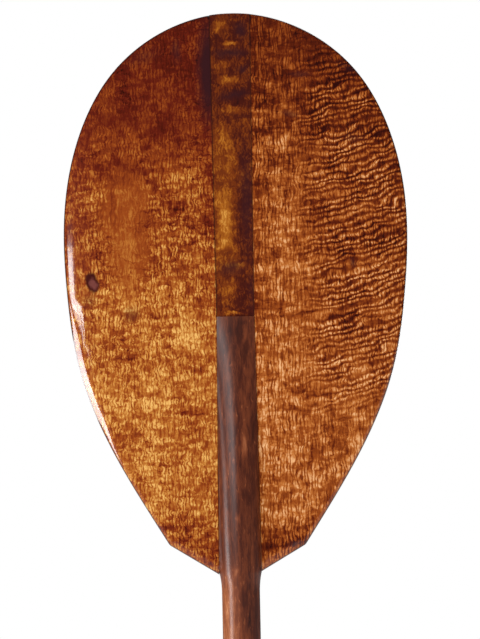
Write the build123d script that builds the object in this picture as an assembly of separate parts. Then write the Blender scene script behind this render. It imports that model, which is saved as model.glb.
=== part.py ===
from build123d import *

import math
import os

os.makedirs("parts", exist_ok=True)

# Single-blade wooden outrigger paddle, standing blade up on its T-grip.
# The shaft's axis is the Z axis, the blade lies across X, and its front, with the raised spine, faces -Y.
# The origin is on the shaft's axis, level with the palm side of the grip. All sizes are in millimetres.

# Driving dimensions
overall_length = 1270.0
shaft_diameter = 30.4
blade_length = 448.0
blade_thickness = 10.5  # in the middle of the blade
tip_thickness = 7.4  # at the middle of the tip
edge_thinning = 1.7  # how much each face falls away from the middle of the blade to its side
halfway_thinning = 0.25  # share of the thinning towards the tip that is reached halfway up the blade
edge_rounding = 2.5

# Right half of the blade's outline, as (half width, distance below the tip)
half_outline = [
    (0, 0),
    (60, 16),
    (98.5, 48),
    (124.5, 96),
    (137.3, 162),
    (135.6, 222),
    (125.5, 286),
    (95, 359),
    (54.5, 426),
]
flank_direction = (-0.53, -0.85)
shoulder_end = (12.0, 451.5)  # inside the shaft, so that the shoulder's edge runs into it
shoulder_corner_radius = 5.0
outline_lean = 0.75  # degrees that the outline leans towards +X against the shaft
lean_pivot_depth = 287.0  # distance below the tip of the point that the lean turns about

# Middle board of the blade: half widths of the glue lines, and the scarf that joins it to the shaft
strip_half_width_tip = 16.2
strip_half_width_scarf = 15.0
strip_half_width_neck = 17.0
scarf_depth = 243.0  # distance below the tip of the joint line on the front
scarf_slope = 8.0
feather_edge = 0.25

# Raised spine on the front, the short run-out on the back, and the flare that meets the shoulders
spine_end_height = 0.9  # how far the end of the spine stands above the front face
spine_fade_power = 1.3
back_runout_length = 96.0
back_runout_sink = 0.5  # how far the end of the run-out lies under the back face
flare_length = 16.0
settle_length = 30.0  # above the neck, over which the section widens to meet the glue lines
section_start = 48.0  # below the neck
section_spacing = 8.0

# Loose splines in the two glue joints
spline_thickness = 3.0
spline_width = 16.0
spline_bottom = 40.0  # above the neck
spline_top = 48.0  # below the tip
spline_corner_radius = 6.0

# T-grip and the tenon that holds it
grip_width = 114.0
grip_thickness = 32.0
grip_bar_height = 31.0  # in the middle
grip_end_height = 26.0
grip_end_length = 12.0  # of the rounded ends
grip_arch = 4.0  # how far the palm side rises from the middle to the ends
grip_edge_rounding = 10.0
grip_neck_top = 62.0
grip_neck_radius = 13.4
grip_neck_sections = [  # height, and radii across X and across Y
    (grip_neck_top, grip_neck_radius, grip_neck_radius),
    (53.0, 14.2, 13.7),
    (44.0, 17.5, 14.3),
    (35.0, 25.0, 14.6),
    (26.0, 36.0, 14.0),
]
tenon_diameter = 20.0
tenon_bottom = 14.0
taper_top = 132.0
dowel_diameter = 6.0
dowel_height = 40.0

# Heights and sizes that follow from them
shaft_radius = shaft_diameter / 2
neck_z = overall_length - blade_length
scarf_z = overall_length - scarf_depth
half_thickness = blade_thickness / 2
blade_half_width = max(x for x, depth in half_outline)
spine_length = scarf_z - neck_z
grip_half_width = grip_width / 2

# Working sizes of the solids that only cut or bound others: all reach well past what they cut
reach = 40.0
tolerance = 0.1


def blade_outline():
    """Flat face of the whole blade in the XZ plane, leaning as the blade does."""
    flank = Spline([(x, -depth) for x, depth in half_outline], tangents=[(1, 0), flank_direction])
    corner = half_outline[-1]
    end_x, end_depth = shoulder_end
    shoulder = Line((corner[0], -corner[1]), (end_x, -end_depth))
    closing = Line((end_x, -end_depth), (0, -end_depth))
    right_half = [flank, shoulder, closing]
    left_half = [edge.mirror(Plane.YZ) for edge in right_half]
    face = make_face(right_half + left_half)
    corners = [v for v in face.vertices() if abs(v.Y + corner[1]) < tolerance]
    face = fillet(corners, shoulder_corner_radius)
    pivot = Pos(0, -lean_pivot_depth)
    leaning = pivot * Rot(0, 0, -outline_lean) * Pos(0, lean_pivot_depth) * face
    return Pos(0, 0, overall_length) * Rot(90, 0, 0) * leaning


def crowned_side(side):
    """Solid that bounds one face of the blade: gently crowned across X and thinning towards the tip."""
    crown_radius = blade_half_width**2 / (2 * edge_thinning)
    middle_z = neck_z + blade_length / 2
    tip_half = tip_thickness / 2
    middle_half = half_thickness - halfway_thinning * (half_thickness - tip_half)
    surface = ThreePointArc((half_thickness, neck_z), (middle_half, middle_z), (tip_half, overall_length))
    lead_in = Line((half_thickness, neck_z - reach), (half_thickness, neck_z))
    lead_out = Line((tip_half, overall_length), (tip_half, overall_length + reach))
    back = Polyline(
        (tip_half, overall_length + reach),
        (-reach, overall_length + reach),
        (-reach, neck_z - reach),
        (half_thickness, neck_z - reach),
    )
    profile = Plane.YZ * make_face([lead_in, surface, lead_out, back])
    axis_y = half_thickness - crown_radius
    half_turn = math.degrees((blade_half_width + reach) / crown_radius)
    spin_axis = Axis((0, axis_y, 0), (0, 0, 1))
    wedge = revolve(profile.rotate(spin_axis, -half_turn), spin_axis, revolution_arc=2 * half_turn)
    return wedge if side > 0 else wedge.mirror(Plane.XZ)


def blade_blank():
    """The whole blade as one rounded board, before it is divided into its boards."""
    prism = extrude(blade_outline(), amount=reach / 2, both=True)
    blank = prism & crowned_side(1) & crowned_side(-1)
    off_middle_plane = [e for e in blank.edges() if abs(e.center().Y) > tip_thickness / 4]
    rim = [e for e in off_middle_plane if e.length > 2 * tolerance]
    return fillet(rim, edge_rounding)


def middle_prism():
    """Space between the two glue lines, from the neck to beyond the tip."""
    right = [
        (strip_half_width_neck, neck_z - reach),
        (strip_half_width_neck, neck_z),
        (strip_half_width_scarf, scarf_z),
        (strip_half_width_tip, overall_length),
        (strip_half_width_tip, overall_length + reach),
    ]
    left = [(-x, z) for x, z in reversed(right)]
    outline = Plane.XZ * make_face(Polyline(*right, *left, close=True))
    return extrude(outline, amount=reach, both=True)


def shaft_side_of_scarf():
    """Space that belongs to the shaft, bounded by the sloping scarf."""
    feather_y = half_thickness - feather_edge
    run = 2 * feather_y * scarf_slope
    outline = Polyline(
        (-reach, 0),
        (-reach, scarf_z),
        (-feather_y, scarf_z),
        (feather_y, scarf_z - run),
        (reach, scarf_z - run),
        (reach, 0),
        close=True,
    )
    return extrude(Plane.YZ * make_face(outline), amount=reach, both=True)


def strip_half_width(z):
    """Half width between the glue lines at a height below the scarf line."""
    share = (z - neck_z) / spine_length
    return strip_half_width_neck + share * (strip_half_width_scarf - strip_half_width_neck)


def shaft_section(z):
    """Cross-section of the shaft and spine at a height: two half-ellipses that share their ends."""
    above_neck = z - neck_z
    if above_neck <= 0:
        share = max(0.0, 1 + above_neck / flare_length)
        swell = share**2 * (strip_half_width_neck - shaft_radius)
        return shaft_radius + swell, shaft_radius, shaft_radius
    along_spine = min(1.0, above_neck / spine_length)
    fade = math.cos(along_spine * math.pi / 2) ** spine_fade_power
    spine_end = half_thickness + spine_end_height
    front = spine_end + fade * (shaft_radius - spine_end)
    along_back = min(1.0, above_neck / back_runout_length)
    runout = 0.5 + 0.5 * math.cos(along_back * math.pi)
    back_end = half_thickness - back_runout_sink
    back = back_end + runout * (shaft_radius - back_end)
    meets_face = strip_half_width(z) / math.sqrt(1 - (half_thickness / front) ** 2)
    settle = min(1.0, above_neck / settle_length)
    width = strip_half_width_neck + settle * (meets_face - strip_half_width_neck)
    return width, front, back


def section_face(z):
    """The closed section at a height, as a face."""
    width, front, back = shaft_section(z)
    front_half = EllipticalCenterArc((0, 0), width, front, start_angle=180, arc_size=180)
    back_half = EllipticalCenterArc((0, 0), width, back, start_angle=0, arc_size=180)
    return Pos(0, 0, z) * make_face([front_half, back_half])


def spine_and_flare():
    """The shaft's upper end, from the round stem to the end of the spine."""
    start = neck_z - section_start
    count = math.ceil((scarf_z - start) / section_spacing) + 1
    return loft([section_face(start + i * section_spacing) for i in range(count)])


def stem():
    """The straight part of the shaft, its taper and its tenon."""
    tenon_radius = tenon_diameter / 2
    profile = Polyline(
        (0, tenon_bottom),
        (tenon_radius, tenon_bottom),
        (tenon_radius, grip_neck_top),
        (grip_neck_radius, grip_neck_top),
        (shaft_radius, taper_top),
        (shaft_radius, neck_z - section_start),
        (0, neck_z - section_start),
        close=True,
    )
    return revolve(Plane.XZ * make_face(profile), Axis.Z)


def grip_dowel_hole():
    """Bore across the grip and its tenon."""
    return Pos(0, 0, dowel_height) * Rot(90, 0, 0) * Cylinder(dowel_diameter / 2, 2 * reach)


def grip_bar():
    """The bar under the palm: a flat-sided board with an arched palm side and rounded ends and edges."""
    end_x = grip_half_width - grip_end_length
    end_low = grip_arch
    end_high = grip_arch + grip_end_height
    palm = ThreePointArc((-end_x, end_low), (0, 0), (end_x, end_low))
    right_end = ThreePointArc((end_x, end_low), (grip_half_width, (end_low + end_high) / 2), (end_x, end_high))
    upper = ThreePointArc((end_x, end_high), (0, grip_bar_height), (-end_x, end_high))
    left_end = ThreePointArc((-end_x, end_high), (-grip_half_width, (end_low + end_high) / 2), (-end_x, end_low))
    side_view = Plane.XZ * make_face([palm, right_end, upper, left_end])
    board = extrude(side_view, amount=grip_thickness / 2, both=True)
    rims = [e for e in board.edges() if abs(e.center().Y) > grip_thickness / 2 - tolerance]
    return fillet(rims, grip_edge_rounding)


def grip_body():
    """The T-grip before it is bored: the bar and the neck that fairs it into the shaft."""
    sections = [Pos(0, 0, z) * make_face(Ellipse(rx, ry).edges()) for z, rx, ry in grip_neck_sections]
    return grip_bar() + loft(sections)


def spline_block(side):
    """Loose spline in one glue joint."""
    low = neck_z + spline_bottom
    high = overall_length - spline_top
    middle_x = side * (strip_half_width_tip + strip_half_width_scarf) / 2
    block = Box(spline_width, spline_thickness, high - low)
    return Pos(middle_x, 0, (low + high) / 2) * fillet(block.edges().filter_by(Axis.Y), spline_corner_radius)


def layer(low, high):
    """Space round the shaft between two heights."""
    return Pos(0, 0, (low + high) / 2) * Box(2 * reach, 2 * reach, high - low)


def build():
    """Every sub-part by node name."""
    blank = blade_blank()
    middle = middle_prism()
    scarf = shaft_side_of_scarf()
    left_spline = spline_block(-1)
    right_spline = spline_block(1)
    splines = left_spline + right_spline

    boards = blank - middle - splines
    tongue = blank & middle
    spine = spine_and_flare()
    spine_between_glue_lines = spine & middle & layer(neck_z, overall_length)
    spine_trimmed = (spine & layer(neck_z - 2 * section_start, neck_z)) + spine_between_glue_lines
    shaft = (spine_trimmed + tongue) & scarf
    shaft = shaft + stem() - splines - grip_dowel_hole()
    strip = tongue - scarf - splines

    grip = grip_body()
    tenon_hole = Cylinder(tenon_diameter / 2, grip_neck_top - tenon_bottom)
    bore = Pos(0, 0, (tenon_bottom + grip_neck_top) / 2) * tenon_hole
    dowel = grip_dowel_hole() & grip
    return {
        "shaft": shaft,
        "center_strip": strip,
        "left_wing": boards.solids().sort_by(Axis.X)[0],
        "right_wing": boards.solids().sort_by(Axis.X)[-1],
        "left_spline": left_spline,
        "right_spline": right_spline,
        "t_grip": grip - bore - grip_dowel_hole(),
        "grip_dowel": dowel,
    }


for name, shape in build().items():
    export_step(shape, f"parts/{name}.step")
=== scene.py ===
"""Wooden outrigger canoe paddle: its finish, the light and the camera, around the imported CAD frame."""

import math

import bmesh
import bpy
import numpy as np
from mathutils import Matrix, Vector, geometry

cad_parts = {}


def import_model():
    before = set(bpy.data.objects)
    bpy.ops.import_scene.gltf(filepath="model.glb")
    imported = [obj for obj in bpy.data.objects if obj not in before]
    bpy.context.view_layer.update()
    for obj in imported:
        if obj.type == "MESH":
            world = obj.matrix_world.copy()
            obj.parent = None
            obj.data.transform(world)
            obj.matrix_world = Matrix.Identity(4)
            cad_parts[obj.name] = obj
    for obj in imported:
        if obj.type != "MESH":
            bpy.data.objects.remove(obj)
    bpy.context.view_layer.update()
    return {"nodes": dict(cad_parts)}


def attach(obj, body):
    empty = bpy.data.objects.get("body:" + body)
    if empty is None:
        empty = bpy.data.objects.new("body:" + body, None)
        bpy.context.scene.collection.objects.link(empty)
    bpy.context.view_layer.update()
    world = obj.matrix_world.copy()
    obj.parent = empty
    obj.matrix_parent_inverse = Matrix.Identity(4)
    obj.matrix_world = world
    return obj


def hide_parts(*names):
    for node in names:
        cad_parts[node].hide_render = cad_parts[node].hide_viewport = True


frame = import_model()

# Heights along the paddle, in metres, as in the CAD part
TOP = 1.270
SCARF = 1.027
NECK = 0.822
TAPER_TOP = 0.132
GRIP_NECK_TOP = 0.062
TENON_BOTTOM = 0.014

# The blade, in metres
HALF_OUTLINE = [  # half width, and distance below the tip
    (0, 0),
    (0.0600, 0.016),
    (0.0985, 0.048),
    (0.1245, 0.096),
    (0.1373, 0.162),
    (0.1356, 0.222),
    (0.1255, 0.286),
    (0.0950, 0.359),
    (0.0545, 0.426),
]
FLANK_DIRECTION = (-0.53, -0.85)
SHOULDER_END = (0.012, 0.4515)
CORNER_CUT = 0.0014
CORNER_CLEAR = 1.5 * CORNER_CUT  # no outline point stays nearer to the corner than this
CORNER_STEPS = (0, 0.25, 0.5, 0.75, 1)
LEAN = math.radians(0.75)
LEAN_PIVOT = TOP - 0.287
BLADE_HALF = 0.00525
TIP_HALF = 0.0037
HALFWAY_THINNING = 0.25
CROWN_RADIUS = 5.544  # of each face across the blade, which thins it by 1.7 mm at its widest
GLUE_LINE = [(NECK, 0.0170), (SCARF, 0.0150), (TOP, 0.0162)]  # height, and half width of the middle board

# How the blade's rim is rounded: how far in from the edge, and how deep
RIM_WIDTH = 0.0032
RIM_DEPTH = 0.0026
WORN_RIM_WIDTH = 0.0062
WORN_RIM_DEPTH = 0.0040
BEVEL_POWER = 1.12
RIM_LINE_FADE = (0.0014, 0.0004)  # distances from the edge over which the painted dark line of shade on the rounded rim comes in
THINNEST_RIM_SHARE = 0.92  # the most of each face's height that the rounding may take at the edge
WORN_RIM_HEIGHTS = (0.905, 0.950, 1.005, 1.048)  # on the left edge: starts, full, full, ends

# The shaft, in metres
SHAFT_RADIUS = 0.0152
GRIP_NECK_RADIUS = 0.0134
TENON_RADIUS = 0.010
FLARE_LENGTH = 0.016
SETTLE_LENGTH = 0.030
SPINE_END = BLADE_HALF + 0.0009
SPINE_FADE_POWER = 1.3
RUNOUT_LENGTH = 0.096
RUNOUT_END = BLADE_HALF - 0.0005
SCARF_SLOPE = 8.0
SCARF_FACE = BLADE_HALF - 0.00025
POINTS_ACROSS = 41
CLOSEST_POINTS = 0.0004
SAME_POINT = 0.00002
WIDEST_REACH = math.radians(89.5)
STEM_LOOPS = 40
FLARE_LOOPS = 17
SPINE_LOOPS = 110

# The meshes of the blade, in metres
OUTLINE_SPACING = 0.0025
SHOULDER_POINTS = 22
GLUED_EDGE_POINTS = 110
RIM_RING_TURNS = np.radians([15, 30, 45, 60, 75, 90])  # around the rounded rim, from its edge to the face
GRID_FROM = 0.020
GRID_TO = 0.140
GRID_ACROSS = 0.005
GRID_UP = 0.006
CLEAR_OF_GLUE = 0.0015
CLEAR_OF_RIM = 0.003
CLEAR_OF_EDGE = 0.00005
TRIANGLES_INSIDE = 1  # the triangulation's setting for leaving out what lies outside the board
TRIANGLE_MERGE = 1e-7
SHARP_EDGE = math.radians(35)

# The woods' figure, in millimetres
COLUMNS_APART = 2.8
ROWS_APART = 5.0
GLUE_LINE_WIDTH = 0.9

# Wood colours, from the darkest figure to the palest, with the place of each on the tone scale
GOLDEN_KOA = [
    (0.00, (0.030, 0.004, 0.002)),
    (0.25, (0.135, 0.013, 0.005)),
    (0.48, (0.325, 0.063, 0.009)),
    (0.70, (0.570, 0.205, 0.034)),
    (1.00, (0.900, 0.500, 0.140)),
]
ROSY_KOA = [
    (0.00, (0.032, 0.004, 0.003)),
    (0.25, (0.130, 0.017, 0.004)),
    (0.48, (0.330, 0.070, 0.010)),
    (0.70, (0.580, 0.185, 0.038)),
    (1.00, (0.930, 0.500, 0.230)),
]
DARK_KOA = [
    (0.00, (0.020, 0.005, 0.005)),
    (0.30, (0.075, 0.011, 0.006)),
    (0.52, (0.200, 0.038, 0.006)),
    (0.75, (0.420, 0.125, 0.012)),
    (1.00, (0.720, 0.330, 0.060)),
]
SHAFT_WOOD = [
    (0.00, (0.020, 0.005, 0.004)),
    (0.30, (0.080, 0.015, 0.006)),
    (0.55, (0.200, 0.044, 0.013)),
    (0.78, (0.440, 0.140, 0.050)),
    (1.00, (0.760, 0.380, 0.190)),
]
PLAIN_MAPLE = [
    (0.00, (0.260, 0.120, 0.045)),
    (0.50, (0.480, 0.280, 0.130)),
    (1.00, (0.720, 0.500, 0.280)),
]

# painted shade along the blade's rounded rim
PAINTED_RIM_SHADE = (0.022, 0.008, 0.006, 1.0)
OLD_GLUE = (0.030, 0.008, 0.006, 1.0)
VIOLET_STAIN = (0.042, 0.010, 0.012, 1.0)
REDDENED_EDGE = (0.26, 0.040, 0.018, 1.0)
KNOT_BARK = (0.055, 0.008, 0.006, 1.0)
KNOT_HEART = (0.200, 0.055, 0.045, 1.0)
FLOOR_PAINT = [(0.0, (0.90, 0.90, 0.90)), (1.0, (0.95, 0.95, 0.95))]

# The studio
FLOOR_RADIUS = 6.0
CAMERA_PLACE = (0.0036, -2.405, 1.0244)
CAMERA_ROLL = math.radians(1.15)
FOCAL_LENGTH = 169.0  # millimetres, as the sensor's width
SENSOR_WIDTH = 36.0
GLOW = {"lit": 0.76, "reflected": 0.015, "seen": 1.0}  # of the white surroundings, for each kind of ray

# The varnish and the wood under it
WOOD_ROUGHNESS = 0.45
FLOOR_ROUGHNESS = 0.7
RELIEF_STRENGTH = 0.5
RELIEF_DEPTH = 0.0003  # metres
VARNISH_IOR = 1.5


class Paint:
    """One material's node tree. Places and sizes inside it are in millimetres, in the shared frame."""

    def __init__(self, name):
        self.material = bpy.data.materials.new(name)
        self.material.use_nodes = True
        self.tree = self.material.node_tree
        self.tree.nodes.clear()
        metres = self.add("ShaderNodeTexCoord").outputs["Object"]
        self.place = self.stretch(metres, (1000, 1000, 1000))
        axes = self.add("ShaderNodeSeparateXYZ", {"Vector": self.place})
        self.x, self.y, self.z = axes.outputs

    def add(self, kind, sockets=None, **settings):
        """A node with its settings, and with its sockets set or linked."""
        node = self.tree.nodes.new(kind)
        for key, value in settings.items():
            setattr(node, key, value)
        for key, value in (sockets or {}).items():
            self.feed(node.inputs[key], value)
        return node

    def feed(self, socket, value):
        """Links a socket to another node's output, or sets its value."""
        if isinstance(value, bpy.types.NodeSocket):
            self.tree.links.new(value, socket)
        else:
            socket.default_value = value

    def stretch(self, vector, factors):
        """The vector, with each part multiplied by its own factor."""
        node = self.add("ShaderNodeVectorMath", operation="MULTIPLY")
        self.feed(node.inputs[0], vector)
        self.feed(node.inputs[1], factors)
        return node.outputs[0]

    def math(self, operation, *values):
        node = self.add("ShaderNodeMath", operation=operation)
        for socket, value in zip(node.inputs, values):
            self.feed(socket, value)
        return node.outputs[0]

    def total(self, first, *others):
        """The sum of several values."""
        for other in others:
            first = self.math("ADD", first, other)
        return first

    def times(self, value, factor):
        return self.math("MULTIPLY", value, factor)

    def fade(self, value, start, full, low=0.0, high=1.0):
        """Goes smoothly from low, where value is at start, to high, where it is at full."""
        rising = start < full
        ends = (start, full, low, high) if rising else (full, start, high, low)
        names = ("From Min", "From Max", "To Min", "To Max")
        sockets = dict(zip(names, ends), Value=value)
        return self.add("ShaderNodeMapRange", sockets, interpolation_type="SMOOTHSTEP").outputs["Result"]

    def noise(self, place, size, detail=2.0, roughness=0.5):
        """Noise of about the given grain size along X, Y and Z, centred on zero."""
        shrunk = self.stretch(place, tuple(1 / s for s in size))
        sockets = {"Vector": shrunk, "Scale": 1.0, "Detail": detail, "Roughness": roughness}
        return self.math("SUBTRACT", self.add("ShaderNodeTexNoise", sockets).outputs[0], 0.5)

    def moved(self, place, offset):
        """The place, shifted by an offset whose parts are numbers or node outputs."""
        parts = self.add("ShaderNodeCombineXYZ")
        for socket, value in zip(parts.inputs, offset):
            self.feed(socket, value)
        node = self.add("ShaderNodeVectorMath", operation="ADD")
        self.feed(node.inputs[0], place)
        self.feed(node.inputs[1], parts.outputs[0])
        return node.outputs[0]

    def spot(self, place, centre, half_size, turn=0.0, soft=1.0):
        """1 in the middle of an ellipse in the XZ plane and 0 beyond it. soft is the share that fades."""
        shift = self.add("ShaderNodeVectorMath", operation="SUBTRACT")
        self.feed(shift.inputs[0], place)
        shift.inputs[1].default_value = (centre[0], 0, centre[1])
        turned = self.add(
            "ShaderNodeVectorRotate",
            {"Vector": shift.outputs[0], "Angle": math.radians(turn)},
            rotation_type="Y_AXIS",
        )
        scaled = self.stretch(turned.outputs[0], (1 / half_size[0], 0, 1 / half_size[1]))
        length = self.add("ShaderNodeVectorMath", {0: scaled}, operation="LENGTH").outputs["Value"]
        return self.fade(length, 1.0, 1.0 - soft)

    def ramp(self, tone, stops):
        """The colour for a tone, from a list of stops."""
        node = self.add("ShaderNodeValToRGB", {"Fac": tone})
        elements = node.color_ramp.elements
        while len(elements) < len(stops):
            elements.new(0.5)
        for element, (place, colour) in zip(elements, stops):
            element.position = place
            element.color = (*colour, 1.0)
        return node.outputs["Color"]

    def mix(self, share, base, over):
        """The base colour, with another over it by a share from 0 to 1."""
        node = self.add("ShaderNodeMix", data_type="RGBA")
        self.feed(node.inputs[0], share)
        self.feed(node.inputs[6], base)
        self.feed(node.inputs[7], over)
        return node.outputs[2]

    def varnished(self, colour, roughness, height, coat=1.0, coat_roughness=0.07):
        """Wood under gloss varnish: the wood has fine relief, and the coat over it is smooth."""
        relief = {"Height": height, "Strength": RELIEF_STRENGTH, "Distance": RELIEF_DEPTH}
        bump = self.add("ShaderNodeBump", relief)
        sockets = {
            "Base Color": colour,
            "Roughness": roughness,
            "Normal": bump.outputs[0],
            "Coat Weight": coat,
            "Coat Roughness": coat_roughness,
            "Coat IOR": VARNISH_IOR,
            "Specular IOR Level": 0.0,
        }
        shader = self.add("ShaderNodeBsdfPrincipled", sockets)
        self.add("ShaderNodeOutputMaterial", {"Surface": shader.outputs[0]})
        return self.material


def vein(paint, value, width):
    """A thin line where value passes through zero."""
    return paint.fade(paint.math("ABSOLUTE", value), width, 0.0)


def fibres(paint, place):
    """Fine broken streaks and pores that run with the grain, centred on zero."""
    streaks = paint.noise(place, (1.1, 1.1, 16), 3.0, 0.65)
    pores = paint.fade(paint.noise(place, (0.5, 0.5, 6), 1.0), 0.10, 0.28)
    return paint.total(streaks, paint.times(pores, -0.12))


def figure(paint, place, rows, dip, length):
    """Small blocks of bright fibre in rows and columns between soft dark lines, centred on about zero.

    rows is the wave in the fibres, from -0.5 to 0.5, and dip says how much it darkens them.
    length says how far the columns run along the grain.
    """
    sway = paint.times(paint.noise(place, (5, 5, 0.7 * length), 2.0), 9.0)
    phase = paint.times(paint.total(paint.x, sway, paint.times(rows, 0.45)), math.pi / COLUMNS_APART)
    columns = paint.total(paint.math("ABSOLUTE", paint.math("SINE", phase)), -2 / math.pi)
    streaks = paint.fade(paint.noise(place, (1.7, 1.7, length), 2.0, 0.5), -0.16, 0.16, -0.5, 0.5)
    blocks = paint.math("MULTIPLY", rows, columns)
    return paint.total(
        paint.times(columns, 0.50),
        paint.times(streaks, 0.36),
        paint.times(rows, dip),
        paint.times(blocks, 0.9),
    )


def glue_distance(paint):
    """How far outside the middle board a place lies, in mm, on either side."""
    above = paint.math("SUBTRACT", paint.z, 1000 * SCARF)
    (_, neck_width), (_, scarf_width), (_, tip_width) = GLUE_LINE
    upper = paint.times(above, (tip_width - scarf_width) / (TOP - SCARF))
    lower = paint.times(above, (scarf_width - neck_width) / (SCARF - NECK))
    half = paint.total(paint.math("MAXIMUM", upper, lower), 1000 * scarf_width)
    return paint.math("SUBTRACT", paint.math("ABSOLUTE", paint.x), half)


def rim_shadow(paint, colour, strength):
    """A thin dark line along the blade's rim: painted shade of the rounded edge, not dirt in the varnish."""
    to_rim = paint.add("ShaderNodeAttribute", attribute_name="rim").outputs["Fac"]
    return paint.mix(paint.fade(to_rim, *RIM_LINE_FADE, 0.0, strength), colour, PAINTED_RIM_SHADE)


def glue_shadow(paint, colour, strength):
    """A thin dark line of glue along the middle board's edges."""
    line = vein(paint, glue_distance(paint), GLUE_LINE_WIDTH)
    return paint.mix(paint.times(line, strength), colour, OLD_GLUE)


def marks(paint, place, table):
    """The sum of named marks in a board, each as (x, z, half width, half height, turn, strength)."""
    found = [
        paint.times(paint.spot(place, (x, z), (half_x, half_z), turn), strength)
        for x, z, half_x, half_z, turn, strength in table
    ]
    return paint.total(*found)


def stained(paint, place, colour, table):
    """The colour with violet-brown stains over it, from a table like that of marks."""
    share = paint.math("MINIMUM", marks(paint, place, table), 1.0)
    return paint.mix(share, colour, VIOLET_STAIN)


def ragged(paint, seed, amount):
    """The place with a fine ragged push, so that marks and figure have uneven edges."""
    shifted = paint.moved(paint.place, (seed, 0, seed))
    across = paint.times(paint.noise(shifted, (5, 5, 9), 3.0, 0.6), amount)
    along = paint.times(paint.noise(shifted, (6, 6, 7), 3.0, 0.6), amount)
    return paint.moved(paint.place, (across, 0, along))


# Marks in each board, in millimetres: x, z, half width, half height, turn in degrees, and strength.
# Above zero, a mark is paler than the board. A stain lies over the colour, and its strength is its density.
LEFT_WING_MARKS = [
    (-31, 1238, 7, 11, 0, 0.05),
    (-60, 1165, 70, 55, 0, -0.07),
    (-123, 1062, 2.5, 9, 0, 0.20),
    (-96, 1120, 3.5, 30, 0, -0.12),
    (-66, 1113, 14, 2, 4, -0.24),
    (-44, 1114, 16, 2, -6, -0.16),
    (-56, 1160, 18, 12, 0, 0.08),
    (-62, 1028, 12, 4, 0, -0.20),
    (-85, 994, 10, 2.5, -8, -0.26),
    (-47, 962, 9, 3, 10, -0.30),
    (-30, 985, 8, 4, 0, -0.22),
    (-60, 860, 12, 5, 0, -0.18),
    (-24, 1066, 6, 22, 0, -0.12),
    (-38, 1010, 18, 17, 0, 0.16),
    (-120, 1030, 9, 30, 0, -0.06),
]
LEFT_WING_STAINS = [
    (-18, 1224, 13, 60, 0, 1.30),
    (-43, 1240, 6, 14, 0, 0.60),
    (-70, 1236, 20, 10, 20, 0.35),
    (-83, 1030, 11, 9, 0, 0.45),
    (-116, 1042, 8, 10, 0, 0.30),
]
RIGHT_WING_MARKS = [
    (58, 1029, 18, 2.5, 12, -0.22),
    (100, 1026, 26, 3, -14, -0.20),
    (84, 1053, 9, 3, -20, -0.25),
    (74, 936, 5, 50, 0, -0.14),
    (35, 1120, 8, 40, 0, 0.10),
    (60, 1062, 4, 22, 0, 0.12),
    (101, 1070, 4, 24, -4, 0.18),
    (22, 930, 4, 110, 0, 0.18),
    (40, 1080, 26, 90, 0, 0.13),
    (45, 846, 55, 28, 0, -0.32),
    (45, 930, 34, 90, 0, -0.03),
]
RIGHT_WING_STAINS = [
    (55, 1220, 13, 4, 0, 0.60),
    (47, 1188, 10, 4, -10, 0.60),
    (96, 1224, 16, 5, -25, 0.45),
    (98, 1168, 15, 5, -15, 0.35),
    (95, 1068, 4, 6, 0, 0.75),
    (44, 844, 9, 5, 0, 0.50),
]
STRIP_MARKS = [
    (-8, 1258, 10, 8, 0, 0.26),
    (1, 1246, 10, 2.8, -8, 0.45),
    (-6, 1229, 12, 4.5, 0, 0.16),
    (-2, 1216, 14, 5.5, -8, 0.30),
    (2, 1192, 13, 5.5, -6, 0.28),
    (-6, 1170, 10, 12, 0, 0.16),
    (-7, 1106, 10, 28, 0, 0.30),
    (-8, 1085, 8, 9, 0, 0.22),
    (6, 1068, 8, 3, 10, 0.26),
    (-7, 1047, 11, 13, 0, 0.14),
    (-2, 1029, 13, 2.0, 0, 0.34),
]
STRIP_STAINS = [
    (9, 1257, 8, 10, 20, 0.95),
    (0, 1238, 22, 6.5, 0, 0.95),
    (10, 1224, 8, 6, 0, 0.85),
    (2, 1204, 20, 6, 8, 0.90),
    (11, 1120, 9, 62, 0, 0.70),
    (-2, 1066, 15, 9, 6, 0.75),
    (14, 1046, 6, 26, 0, 0.50),
]
SHAFT_MARKS = [
    (0, 1016, 16, 16, 0, -0.08),
    (7, 1012, 4, 10, 0, 0.22),
    (6, 1022, 7, 3, 0, -0.10),
    # painted reflection: the pale streak just right of the spine's middle
    (5, 924, 3.5, 22, 0, 0.30),
    (9, 960, 6, 60, 0, 0.08),
    (-1, 866, 3, 5, 0, 0.22),
    (-2, 824, 3, 5, 0, 0.18),
    (6, 784, 1.4, 9, 0, -0.30),
    (3, 798, 5, 16, 12, -0.14),
]
KNOT = (-114, 1056)  # x and z
KNOT_TURN = 12  # degrees


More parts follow.
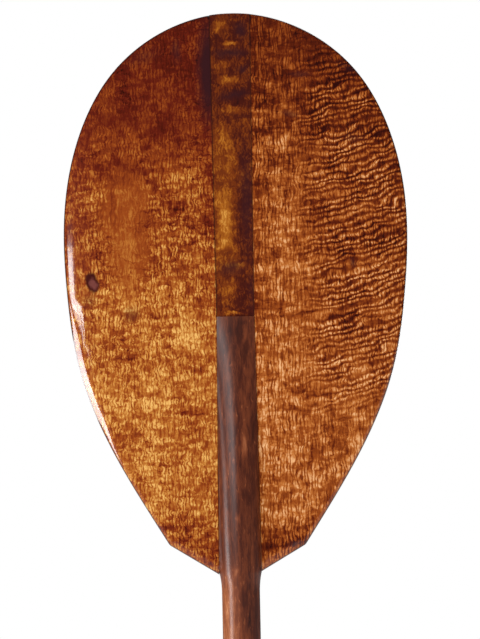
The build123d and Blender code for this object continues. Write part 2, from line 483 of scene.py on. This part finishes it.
def left_wing_wood():
    """Golden board: redder and calmer towards the tip, with curls, stains and a knot."""
    paint = Paint("golden_koa")
    place = ragged(paint, 0.0, 7.0)
    level = paint.fade(paint.z, 1262, 1085, 0.20, 0.50)
    lower = paint.fade(paint.z, 1100, 1000, 0.0, 0.12)
    lowest = paint.fade(paint.z, 890, 845, 0.0, -0.14)
    calm = paint.times(paint.spot(place, (-86, 1105), (26, 75), 0.0, 0.5), 0.7)
    calm_top = paint.fade(paint.z, 1110, 1190, 0.0, 0.55)
    lively = paint.math("SUBTRACT", 1.0, paint.math("MAXIMUM", calm, calm_top))
    rows = paint.fade(paint.noise(place, (8, 8, 3.4), 2.0), -0.2, 0.2, -0.5, 0.5)
    net = figure(paint, place, rows, 0.55, 9.0)
    curls = vein(paint, paint.noise(place, (18, 18, 6), 2.0), 0.03)
    curl_zone = paint.fade(paint.noise(place, (40, 40, 30), 1.0), -0.02, 0.12)
    clouds = paint.noise(place, (26, 26, 34), 3.0, 0.5)
    tone = paint.total(
        level,
        lower,
        lowest,
        paint.math("MULTIPLY", net, paint.times(lively, 0.52)),
        paint.times(fibres(paint, place), 0.35),
        paint.times(clouds, 0.50),
        paint.times(paint.math("MULTIPLY", curls, curl_zone), -0.16),
        marks(paint, place, LEFT_WING_MARKS),
    )
    colour = paint.ramp(tone, GOLDEN_KOA)
    edge_red = paint.fade(paint.x, -104, -128)
    colour = paint.mix(paint.times(edge_red, 0.22), colour, REDDENED_EDGE)
    colour = stained(paint, place, colour, LEFT_WING_STAINS)
    bark = paint.spot(place, KNOT, (6.2, 10.5), KNOT_TURN, 0.35)
    heart = paint.spot(place, (KNOT[0] + 0.8, KNOT[1] - 1), (4.2, 7.0), KNOT_TURN, 0.6)
    colour = paint.mix(bark, colour, KNOT_BARK)
    colour = paint.mix(paint.times(heart, 0.9), colour, KNOT_HEART)
    colour = rim_shadow(paint, glue_shadow(paint, colour, 0.85), 0.85)
    return paint.varnished(colour, WOOD_ROUGHNESS, net)


def right_wing_wood():
    """Rosy board: plain beside the middle, with strong fiddleback ripples towards its outer edge."""
    paint = Paint("fiddleback_koa")
    place = ragged(paint, 400.0, 5.0)
    level = paint.fade(paint.z, 1262, 1130, 0.27, 0.46)
    lower = paint.fade(paint.z, 1100, 960, 0.0, 0.12)
    outward = paint.math("SUBTRACT", paint.x, 17.0)
    rise = paint.times(paint.math("POWER", outward, 2.0), -0.0016)
    drift = paint.times(paint.noise(paint.place, (24, 24, 14), 2.0, 0.6), 16.0)
    jitter = paint.times(paint.noise(paint.place, (9, 9, 7), 2.0, 0.5), 4.0)
    phase = paint.times(paint.total(paint.z, rise, drift, jitter), 2 * math.pi / ROWS_APART)
    wave = paint.times(paint.math("SINE", phase), 0.5)
    blocks = figure(paint, place, wave, 0.75, 9.0)
    zone = paint.math("MULTIPLY", paint.fade(paint.x, 42, 76), paint.fade(paint.z, 925, 985))
    patchy = paint.fade(paint.noise(place, (26, 26, 14), 1.0), -0.2, 0.15, 0.55, 1.0)
    rows = paint.fade(paint.noise(place, (9, 9, 4.0), 2.0), -0.2, 0.2, -0.5, 0.5)
    net = figure(paint, place, rows, 0.50, 16.0)
    both = paint.add("ShaderNodeMix", {0: zone, 2: paint.times(net, 0.58)}, data_type="FLOAT")
    paint.feed(both.inputs[3], paint.math("MULTIPLY", blocks, paint.times(patchy, 0.66)))
    calm_top = paint.fade(paint.z, 1180, 1250, 1.0, 0.6)
    ripple_place = paint.moved(paint.place, (0, 0, paint.total(rise, drift)))
    ripples = vein(paint, paint.noise(ripple_place, (30, 30, 7), 2.0), 0.05)
    ripple_zone = paint.fade(paint.z, 900, 960)
    clouds = paint.noise(place, (26, 26, 16), 3.0, 0.6)
    tone = paint.total(
        level,
        lower,
        paint.math("MULTIPLY", both.outputs[0], calm_top),
        paint.times(paint.math("MULTIPLY", ripples, ripple_zone), -0.10),
        paint.times(zone, -0.05),
        paint.times(fibres(paint, place), 0.35),
        paint.times(clouds, 0.60),
        marks(paint, place, RIGHT_WING_MARKS),
    )
    colour = stained(paint, place, paint.ramp(tone, ROSY_KOA), RIGHT_WING_STAINS)
    colour = rim_shadow(paint, glue_shadow(paint, colour, 0.75), 0.85)
    return paint.varnished(colour, WOOD_ROUGHNESS, both.outputs[0])


def strip_wood():
    """Dark middle board with pale bands near the tip and a golden middle."""
    paint = Paint("banded_koa")
    place = ragged(paint, 800.0, 9.0)
    level = paint.fade(paint.z, 1210, 1150, 0.355, 0.53)
    rows = paint.fade(paint.noise(place, (6, 6, 4.0), 2.0), -0.2, 0.2, -0.5, 0.5)
    clouds = paint.noise(place, (12, 12, 14), 3.0, 0.6)
    right_side = paint.fade(paint.x, -3, 8)
    side_shade = paint.fade(paint.z, 1210, 1150, -0.03, -0.16)
    above_scarf = paint.fade(paint.z, 1070, 1050, 0.0, -0.08)
    tone = paint.total(
        level,
        paint.times(figure(paint, place, rows, 0.6, 6.0), 0.26),
        paint.times(fibres(paint, place), 0.25),
        paint.times(clouds, 0.45),
        paint.times(right_side, side_shade),
        above_scarf,
        marks(paint, place, STRIP_MARKS),
    )
    colour = stained(paint, place, paint.ramp(tone, DARK_KOA), STRIP_STAINS)
    colour = glue_shadow(paint, colour, 0.8)
    return paint.varnished(colour, WOOD_ROUGHNESS, tone)


def shaft_wood():
    """Dark hardwood with long flames and flecks, a little paler towards the neck and more so below it."""
    paint = Paint("dark_hardwood")
    place = ragged(paint, 1200.0, 4.0)
    stem = paint.fade(paint.z, 840, 800)
    # Painted light and shade: below the neck the stem's left side is paler and its right side darker, as if
    # lit from the left
    side = paint.fade(paint.x, -13, 12, 0.18, -0.22)
    flames = paint.fade(paint.noise(place, (4, 4, 16), 3.0, 0.6), -0.2, 0.2, -0.5, 0.5)
    flecks = paint.fade(paint.noise(place, (1.2, 1.2, 7), 2.0), 0.12, 0.26)
    near_neck = paint.fade(paint.z, 930, 850)
    clouds = paint.noise(place, (7, 7, 30), 3.0, 0.6)
    tone = paint.total(
        0.35,
        paint.times(stem, 0.15),
        paint.times(near_neck, 0.03),
        paint.math("MULTIPLY", side, stem),
        paint.times(flames, 0.16),
        paint.times(flecks, 0.26),
        paint.times(fibres(paint, place), 0.55),
        paint.times(clouds, 0.40),
        marks(paint, place, SHAFT_MARKS),
    )
    colour = paint.ramp(tone, SHAFT_WOOD)
    return paint.varnished(colour, WOOD_ROUGHNESS, tone, coat=0.75, coat_roughness=0.28)


def grip_wood():
    """Koa whose broad figure runs across the shaft."""
    paint = Paint("grip_koa")
    place = ragged(paint, 1600.0, 5.0)
    along = paint.stretch(place, (0.25, 1, 4))
    tone = paint.total(
        0.5,
        paint.times(fibres(paint, along), 0.35),
        paint.times(paint.noise(along, (10, 10, 14), 3.0, 0.6), 0.5),
    )
    colour = paint.ramp(tone, ROSY_KOA)
    return paint.varnished(colour, WOOD_ROUGHNESS, tone, coat_roughness=0.22)


def joint_wood():
    """Pale plain maple of the hidden joinery and the dowel's ends."""
    paint = Paint("plain_maple")
    place = ragged(paint, 2000.0, 2.0)
    tone = paint.total(
        0.5,
        paint.times(fibres(paint, place), 0.5),
        paint.times(paint.noise(place, (6, 6, 20), 3.0, 0.6), 0.4),
    )
    colour = paint.ramp(tone, PLAIN_MAPLE)
    return paint.varnished(colour, 0.5, tone, coat=0.6, coat_roughness=0.25)


def smooth_step(value, start, full):
    """0 below start, 1 above full, and smooth between them."""
    share = np.clip((value - start) / (full - start), 0.0, 1.0)
    return share * share * (3 - 2 * share)


def smooth_curve(points, first_direction, last_direction, spacing):
    """Points along the smooth curve that passes through the given ones and has the given end directions."""
    points = np.array(points, float)
    gaps = np.linalg.norm(np.diff(points, axis=0), axis=1)
    count = len(points)
    matrix = np.eye(count)
    right = np.zeros((count, 2))
    right[0] = np.array(first_direction) / np.linalg.norm(first_direction)
    right[-1] = np.array(last_direction) / np.linalg.norm(last_direction)
    for i in range(1, count - 1):
        before, after = 1 / gaps[i - 1], 1 / gaps[i]
        matrix[i, i - 1 : i + 2] = before, 2 * (before + after), after
        steps = before**2 * (points[i] - points[i - 1]) + after**2 * (points[i + 1] - points[i])
        right[i] = 3 * steps
    slopes = np.linalg.solve(matrix, right)
    curve = []
    for i, gap in enumerate(gaps):
        for t in np.arange(0, 1, spacing / gap):
            hermite = (2 * t**3 - 3 * t**2 + 1, t**3 - 2 * t**2 + t, 3 * t**2 - 2 * t**3, t**3 - t**2)
            terms = (points[i], gap * slopes[i], points[i + 1], gap * slopes[i + 1])
            curve.append(sum(h * term for h, term in zip(hermite, terms)))
    curve.append(points[-1])
    return np.array(curve)


def glue_line(z):
    """Half width between the glue lines at a height."""
    heights, widths = zip(*GLUE_LINE)
    return np.interp(z, heights, widths)


def blade_outline(side):
    """Half of the blade's outline as (x, z), from the tip to the shoulder's end, with the blade's lean."""
    rim = [(x, -depth) for x, depth in HALF_OUTLINE]
    flank = smooth_curve(rim, (1, 0), FLANK_DIRECTION, OUTLINE_SPACING)
    corner = flank[-1]
    end = np.array([SHOULDER_END[0], -SHOULDER_END[1]])
    along = (end - corner) / np.linalg.norm(end - corner)
    back = np.array(FLANK_DIRECTION) / np.linalg.norm(FLANK_DIRECTION)
    before = corner - CORNER_CUT * back
    after = corner + CORNER_CUT * along
    kept = flank[np.linalg.norm(flank - corner, axis=1) > CORNER_CLEAR]
    bend = [(1 - t) ** 2 * before + 2 * t * (1 - t) * corner + t**2 * after for t in CORNER_STEPS]
    shoulder = [after + (end - after) * t for t in np.linspace(0, 1, SHOULDER_POINTS)[1:]]
    half = np.vstack([kept, bend, shoulder])
    x = side * half[:, 0]
    above = TOP + half[:, 1] - LEAN_PIVOT
    leaning_x = x * math.cos(LEAN) + above * math.sin(LEAN)
    leaning_z = LEAN_PIVOT + above * math.cos(LEAN) - x * math.sin(LEAN)
    return np.column_stack([leaning_x, leaning_z])


def face_height(x, z):
    """How far the blade's face lies from its middle plane, before the rim is rounded."""
    middle = BLADE_HALF - HALFWAY_THINNING * (BLADE_HALF - TIP_HALF)
    share = np.clip((z - NECK) / (TOP - NECK), 0.0, 1.0)
    bow = 4 * (middle - (BLADE_HALF + TIP_HALF) / 2)
    along = BLADE_HALF + share * (TIP_HALF - BLADE_HALF) + bow * share * (1 - share)
    return along - x**2 / (2 * CROWN_RADIUS)


def distance_to_line(points, line):
    """The shortest distance from each point to a line of short straight pieces, in the XZ plane."""
    starts, ends = line[:-1], line[1:]
    along = ends - starts
    length = np.maximum((along**2).sum(axis=1), 1e-12)
    best = np.full(len(points), np.inf)
    for start, run, squared in zip(starts, along, length):
        share = np.clip(((points - start) @ run) / squared, 0, 1)
        gap = points - start - share[:, None] * run
        best = np.minimum(best, np.linalg.norm(gap, axis=1))
    return best


def rim_wear(side, z):
    """0 where the rim is rounded as made, and 1 where the left edge is worn to a broad bevel."""
    low, full, still, high = WORN_RIM_HEIGHTS
    return smooth_step(z, low, full) * (1 - smooth_step(z, still, high)) * (side < 0)


def rim_width(side, z):
    """How far in from the edge the rim is rounded."""
    return RIM_WIDTH + rim_wear(side, z) * (WORN_RIM_WIDTH - RIM_WIDTH)


def rounded_height(side, x, z, to_rim):
    """How far the face lies from the middle plane, with the rim rounded over."""
    worn = rim_wear(side, z)
    flat = face_height(x, z)
    depth = np.minimum(RIM_DEPTH + worn * (WORN_RIM_DEPTH - RIM_DEPTH), THINNEST_RIM_SHARE * flat)
    outward = 1 - np.clip(to_rim / rim_width(side, z), 0, 1)
    rounded = 1 - np.sqrt(1 - outward**2)
    bevelled = outward**BEVEL_POWER
    return flat - depth * (rounded + worn * (bevelled - rounded))


def make_piece(name, vertices, faces, rim=None):
    """A mesh object with smooth shading and crisp sharp edges. rim is each point's distance from the rim."""
    mesh = bpy.data.meshes.new(name)
    mesh.from_pydata([tuple(v) for v in vertices], [], [tuple(f) for f in faces])
    if rim is not None:
        mesh.attributes.new("rim", "FLOAT", "POINT").data.foreach_set("value", np.array(rim, np.float32))
    tool = bmesh.new()
    tool.from_mesh(mesh)
    bmesh.ops.remove_doubles(tool, verts=tool.verts, dist=SAME_POINT)
    bmesh.ops.recalc_face_normals(tool, faces=tool.faces)
    for face in tool.faces:
        face.smooth = True
    for edge in tool.edges:
        edge.smooth = edge.calc_face_angle(0.0) < SHARP_EDGE
    tool.to_mesh(mesh)
    tool.free()
    piece = bpy.data.objects.new(name, mesh)
    bpy.context.scene.collection.objects.link(piece)
    return piece


def inside_polygon(points, polygon):
    """Which points lie inside a closed polygon."""
    inside = np.zeros(len(points), bool)
    for (x0, z0), (x1, z1) in zip(polygon, np.roll(polygon, -1, axis=0)):
        if z0 == z1:
            continue
        crosses = (points[:, 1] > min(z0, z1)) & (points[:, 1] <= max(z0, z1))
        at = x0 + (points[:, 1] - z0) * (x1 - x0) / (z1 - z0)
        inside ^= crosses & (points[:, 0] < at)
    return inside


def cut_room(piece, nodes):
    """Cuts room in a piece for the CAD nodes that are let into it."""
    for name in nodes:
        cut = piece.modifiers.new("room_for_" + name, "BOOLEAN")
        cut.operation = "DIFFERENCE"
        cut.solver = "EXACT"
        cut.object = frame["nodes"][name]
    view = bpy.context.evaluated_depsgraph_get()
    whole = piece.data
    piece.data = bpy.data.meshes.new_from_object(piece.evaluated_get(view))
    piece.data.name = piece.name
    piece.modifiers.clear()
    bpy.data.meshes.remove(whole)


def wing(name, side):
    """A side board of the blade: crowned on both faces, with a rounded rim and a straight glued edge."""
    outline = blade_outline(side)
    past_glue = side * outline[:, 0] - glue_line(outline[:, 1])
    own = np.flatnonzero(past_glue > 0)
    ends = []
    for within, beyond in ((own[0], own[0] - 1), (own[-1], own[-1] + 1)):
        share = past_glue[within] / (past_glue[within] - past_glue[beyond])
        ends.append(outline[within] + share * (outline[beyond] - outline[within]))
    tip, shoulder = ends
    rim = np.vstack([tip, outline[past_glue > CLOSEST_POINTS], shoulder])
    glued_z = np.linspace(shoulder[1], tip[1], GLUED_EDGE_POINTS)[1:-1]
    glued = np.column_stack([side * glue_line(glued_z), glued_z])
    boundary = np.vstack([rim, glued])

    tangent = np.gradient(rim, axis=0)
    tangent /= np.linalg.norm(tangent, axis=1)[:, None]
    inward = side * np.column_stack([tangent[:, 1], -tangent[:, 0]])
    width = rim_width(side, rim[:, 1])
    rings = [rim + (width * (1 - math.cos(a)))[:, None] * inward for a in RIM_RING_TURNS]
    across = np.arange(GRID_FROM, GRID_TO, GRID_ACROSS) * side
    up = np.arange(NECK, TOP, GRID_UP)
    grid = np.array([(x, z) for z in up for x in across])
    inner = np.vstack(rings + [grid])
    from_glue = side * inner[:, 0] - glue_line(inner[:, 1])
    to_rim = distance_to_line(inner, rim)
    inside = inside_polygon(inner, boundary)
    ring_count = len(rim) * len(rings)
    is_grid = np.arange(len(inner)) >= ring_count
    far_enough = np.where(is_grid, to_rim > WORN_RIM_WIDTH + CLEAR_OF_RIM, to_rim > CLEAR_OF_EDGE)
    kept = inner[inside & (from_glue > CLEAR_OF_GLUE) & far_enough]

    flat = [Vector(p) for p in np.vstack([boundary, kept])]
    loop = list(range(len(boundary)))
    made = geometry.delaunay_2d_cdt(flat, [], [loop], TRIANGLES_INSIDE, TRIANGLE_MERGE)
    points = np.array([tuple(v) for v in made[0]])
    triangles = made[2]
    to_rim = distance_to_line(points, rim)
    height = rounded_height(side, points[:, 0], points[:, 1], to_rim)
    front = np.column_stack([points[:, 0], -height, points[:, 1]])
    back = np.column_stack([points[:, 0], height, points[:, 1]])
    count = len(points)
    faces = [list(t) for t in triangles] + [[i + count for i in reversed(t)] for t in triangles]
    sides = [(t[i - 1], t[i]) for t in triangles for i in (1, 2, 0)]
    shared = set(sides)
    faces += [[b, a, a + count, b + count] for a, b in sides if (b, a) not in shared]
    board = make_piece(name, np.vstack([front, back]), faces, np.tile(to_rim, 2))
    cut_room(board, ["left_spline" if side < 0 else "right_spline"])
    return board


def tube(name, sections):
    """A closed piece through a stack of loops that have the same number of points."""
    count = len(sections[0])
    vertices = np.vstack(sections)
    faces = [list(range(count - 1, -1, -1)), list(range(len(vertices) - count, len(vertices)))]
    for level in range(len(sections) - 1):
        low, high = level * count, (level + 1) * count
        for i in range(count):
            j = (i + 1) % count
            faces.append([low + i, low + j, high + j, high + i])
    return make_piece(name, vertices, faces)


def section_loop(z, half, front, back, cut):
    """Points around a section: a front and a back half-ellipse, cut off at the glue lines."""
    reach = math.asin(min(math.sin(WIDEST_REACH), cut / half))
    turns = np.linspace(-reach, reach, POINTS_ACROSS)
    x = half * np.sin(turns)
    front_y = -front * np.cos(turns)
    back_y = back * np.cos(turns)
    if z > NECK:
        front_y = np.minimum(front_y, -face_height(x, z))
        back_y = np.maximum(back_y, face_height(x, z))
        back_y = np.minimum(back_y, (SCARF - z) / SCARF_SLOPE - SCARF_FACE)
    loop_x = np.concatenate([x, x[::-1]])
    loop_y = np.concatenate([front_y, back_y[::-1]])
    return np.column_stack([loop_x, loop_y, np.full(len(loop_x), z)])


def round_loop(z, radius):
    """Points around a round section."""
    return section_loop(z, radius, radius, radius, radius)


def flare_loop(z):
    """The round shaft below the neck, where it swells sideways to meet the blade."""
    swell = max(0.0, 1 + (z - NECK) / FLARE_LENGTH) ** 2 * (GLUE_LINE[0][1] - SHAFT_RADIUS)
    half = SHAFT_RADIUS + swell
    return section_loop(z, half, SHAFT_RADIUS, SHAFT_RADIUS, half)


def spine_loop(z):
    """The shaft inside the blade: a spine on the front that fades upwards, and a run-out on the back."""
    above = z - NECK
    fade = math.cos(min(1.0, above / (SCARF - NECK)) * math.pi / 2) ** SPINE_FADE_POWER
    front = SPINE_END + fade * (SHAFT_RADIUS - SPINE_END)
    runout = 0.5 + 0.5 * math.cos(min(1.0, above / RUNOUT_LENGTH) * math.pi)
    back = RUNOUT_END + runout * (SHAFT_RADIUS - RUNOUT_END)
    cut = float(glue_line(z))
    meets_face = cut / math.sqrt(1 - (BLADE_HALF / front) ** 2)
    neck_half = GLUE_LINE[0][1]
    half = neck_half + min(1.0, above / SETTLE_LENGTH) * (meets_face - neck_half)
    return section_loop(z, half, front, back, cut)


def shaft():
    """The whole shaft in one piece: tenon, taper, round stem, flare and spine."""
    tenon = [round_loop(z, TENON_RADIUS) for z in (TENON_BOTTOM, GRIP_NECK_TOP)]
    taper = [round_loop(GRIP_NECK_TOP, GRIP_NECK_RADIUS)]
    stem = [round_loop(z, SHAFT_RADIUS) for z in np.linspace(TAPER_TOP, NECK - FLARE_LENGTH, STEM_LOOPS)]
    flare = [flare_loop(z) for z in np.linspace(NECK - FLARE_LENGTH, NECK, FLARE_LOOPS)[1:-1]]
    spine = [spine_loop(z) for z in np.linspace(NECK, SCARF, SPINE_LOOPS)]
    whole = tube("one_piece_shaft", tenon + taper + stem + flare + spine)
    cut_room(whole, ["left_spline", "right_spline", "grip_dowel"])
    return whole


def finish_nodes():
    """Gives every CAD node its wood, and puts the finer meshes in place of the CAD ones."""
    plain = joint_wood()
    finishes = {
        "left_wing": ("left_wing_wood", left_wing_wood()),
        "right_wing": ("right_wing_wood", right_wing_wood()),
        "center_strip": ("strip_wood", strip_wood()),
        "shaft": ("shaft_wood", shaft_wood()),
        "t_grip": ("grip_wood", grip_wood()),
        "grip_dowel": ("joint_wood", plain),
        "left_spline": ("joint_wood", plain),
        "right_spline": ("joint_wood", plain),
    }
    finer = {
        "left_wing": wing("left_wing_board", -1),
        "right_wing": wing("right_wing_board", 1),
        "shaft": shaft(),
    }
    for name, (slot, material) in finishes.items():
        node = frame["nodes"][name]
        node.data.materials.clear()
        node.data.materials.append(material)
        if name in finer:
            piece = finer[name]
            piece.data.materials.append(material)
            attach(piece, "root")
            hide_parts(name)


def floor():
    """A plain pale studio floor under the paddle."""
    bpy.ops.mesh.primitive_circle_add(vertices=128, radius=FLOOR_RADIUS, fill_type="NGON", location=(0, 0, 0))
    disk = bpy.context.object
    disk.name = "studio_floor"
    paint = Paint("floor_paint")
    cloud = paint.noise(paint.place, (400, 400, 400), 3.0)
    colour = paint.ramp(paint.total(0.5, cloud), FLOOR_PAINT)
    shader = paint.add("ShaderNodeBsdfPrincipled", {"Base Color": colour, "Roughness": FLOOR_ROUGHNESS})
    paint.add("ShaderNodeOutputMaterial", {"Surface": shader.outputs[0]})
    disk.data.materials.append(paint.material)


def world():
    """White to the camera, soft light for matt surfaces, and a dim room for gloss to reflect."""
    sky = bpy.data.worlds.new("studio")
    bpy.context.scene.world = sky
    sky.use_nodes = True
    tree = sky.node_tree
    tree.nodes.clear()
    ray = tree.nodes.new("ShaderNodeLightPath")
    glows = {}
    for name, strength in GLOW.items():
        glows[name] = tree.nodes.new("ShaderNodeBackground")
        glows[name].inputs["Color"].default_value = (1.0, 1.0, 1.0, 1.0)
        glows[name].inputs["Strength"].default_value = strength
    gloss = tree.nodes.new("ShaderNodeMixShader")
    chosen = tree.nodes.new("ShaderNodeMixShader")
    output = tree.nodes.new("ShaderNodeOutputWorld")
    tree.links.new(ray.outputs["Is Glossy Ray"], gloss.inputs[0])
    tree.links.new(glows["lit"].outputs[0], gloss.inputs[1])
    tree.links.new(glows["reflected"].outputs[0], gloss.inputs[2])
    tree.links.new(ray.outputs["Is Camera Ray"], chosen.inputs[0])
    tree.links.new(gloss.outputs[0], chosen.inputs[1])
    tree.links.new(glows["seen"].outputs[0], chosen.inputs[2])
    tree.links.new(chosen.outputs[0], output.inputs[0])


def soft_light(name, place, target, size, power, spread=180):
    """A rectangular softbox at place that faces target. spread is the angle of its beam in degrees."""
    light = bpy.data.lights.new(name, "AREA")
    light.shape = "RECTANGLE"
    light.size, light.size_y = size
    light.energy = power
    light.spread = math.radians(spread)
    lamp = bpy.data.objects.new(name, light)
    bpy.context.scene.collection.objects.link(lamp)
    lamp.location = place
    aim(lamp, target)


def aim(thing, target):
    """Turns a light or camera so that it looks at target."""
    direction = Vector(target) - thing.location
    thing.rotation_euler = direction.to_track_quat("-Z", "Y").to_euler()


def camera():
    """Level and square to the blade's front, with the paddle leaning a little to the left in the picture."""
    lens = bpy.data.cameras.new("camera")
    lens.lens = FOCAL_LENGTH
    lens.sensor_width = SENSOR_WIDTH
    seen_from = bpy.data.objects.new("camera", lens)
    bpy.context.scene.collection.objects.link(seen_from)
    seen_from.location = CAMERA_PLACE
    seen_from.rotation_euler = (math.radians(90), CAMERA_ROLL, 0)
    bpy.context.scene.camera = seen_from


finish_nodes()
floor()
world()
# name, place, target, size, power, and the beam's spread where it is narrow
soft_light("key_upper", (-0.46, -1.43, 1.06), (0, 0, 1.0), (0.20, 0.14), 1.5)
soft_light("key_lower", (-0.74, -1.30, 1.00), (0, 0, 1.0), (0.56, 0.11), 1.8)
soft_light("rim_left", (-1.35, -0.66, 0.62), (-0.12, 0, 0.98), (0.48, 0.52), 0.65, 40)
soft_light("rim_right", (0.62, 1.35, 1.03), (0, 0, 1.03), (0.30, 0.35), 2.5)
soft_light("back", (0.5, 1.6, 2.9), (0, 0, 1.0), (1.2, 1.2), 18)
camera()
bpy.context.scene.view_settings.view_transform = "Standard"
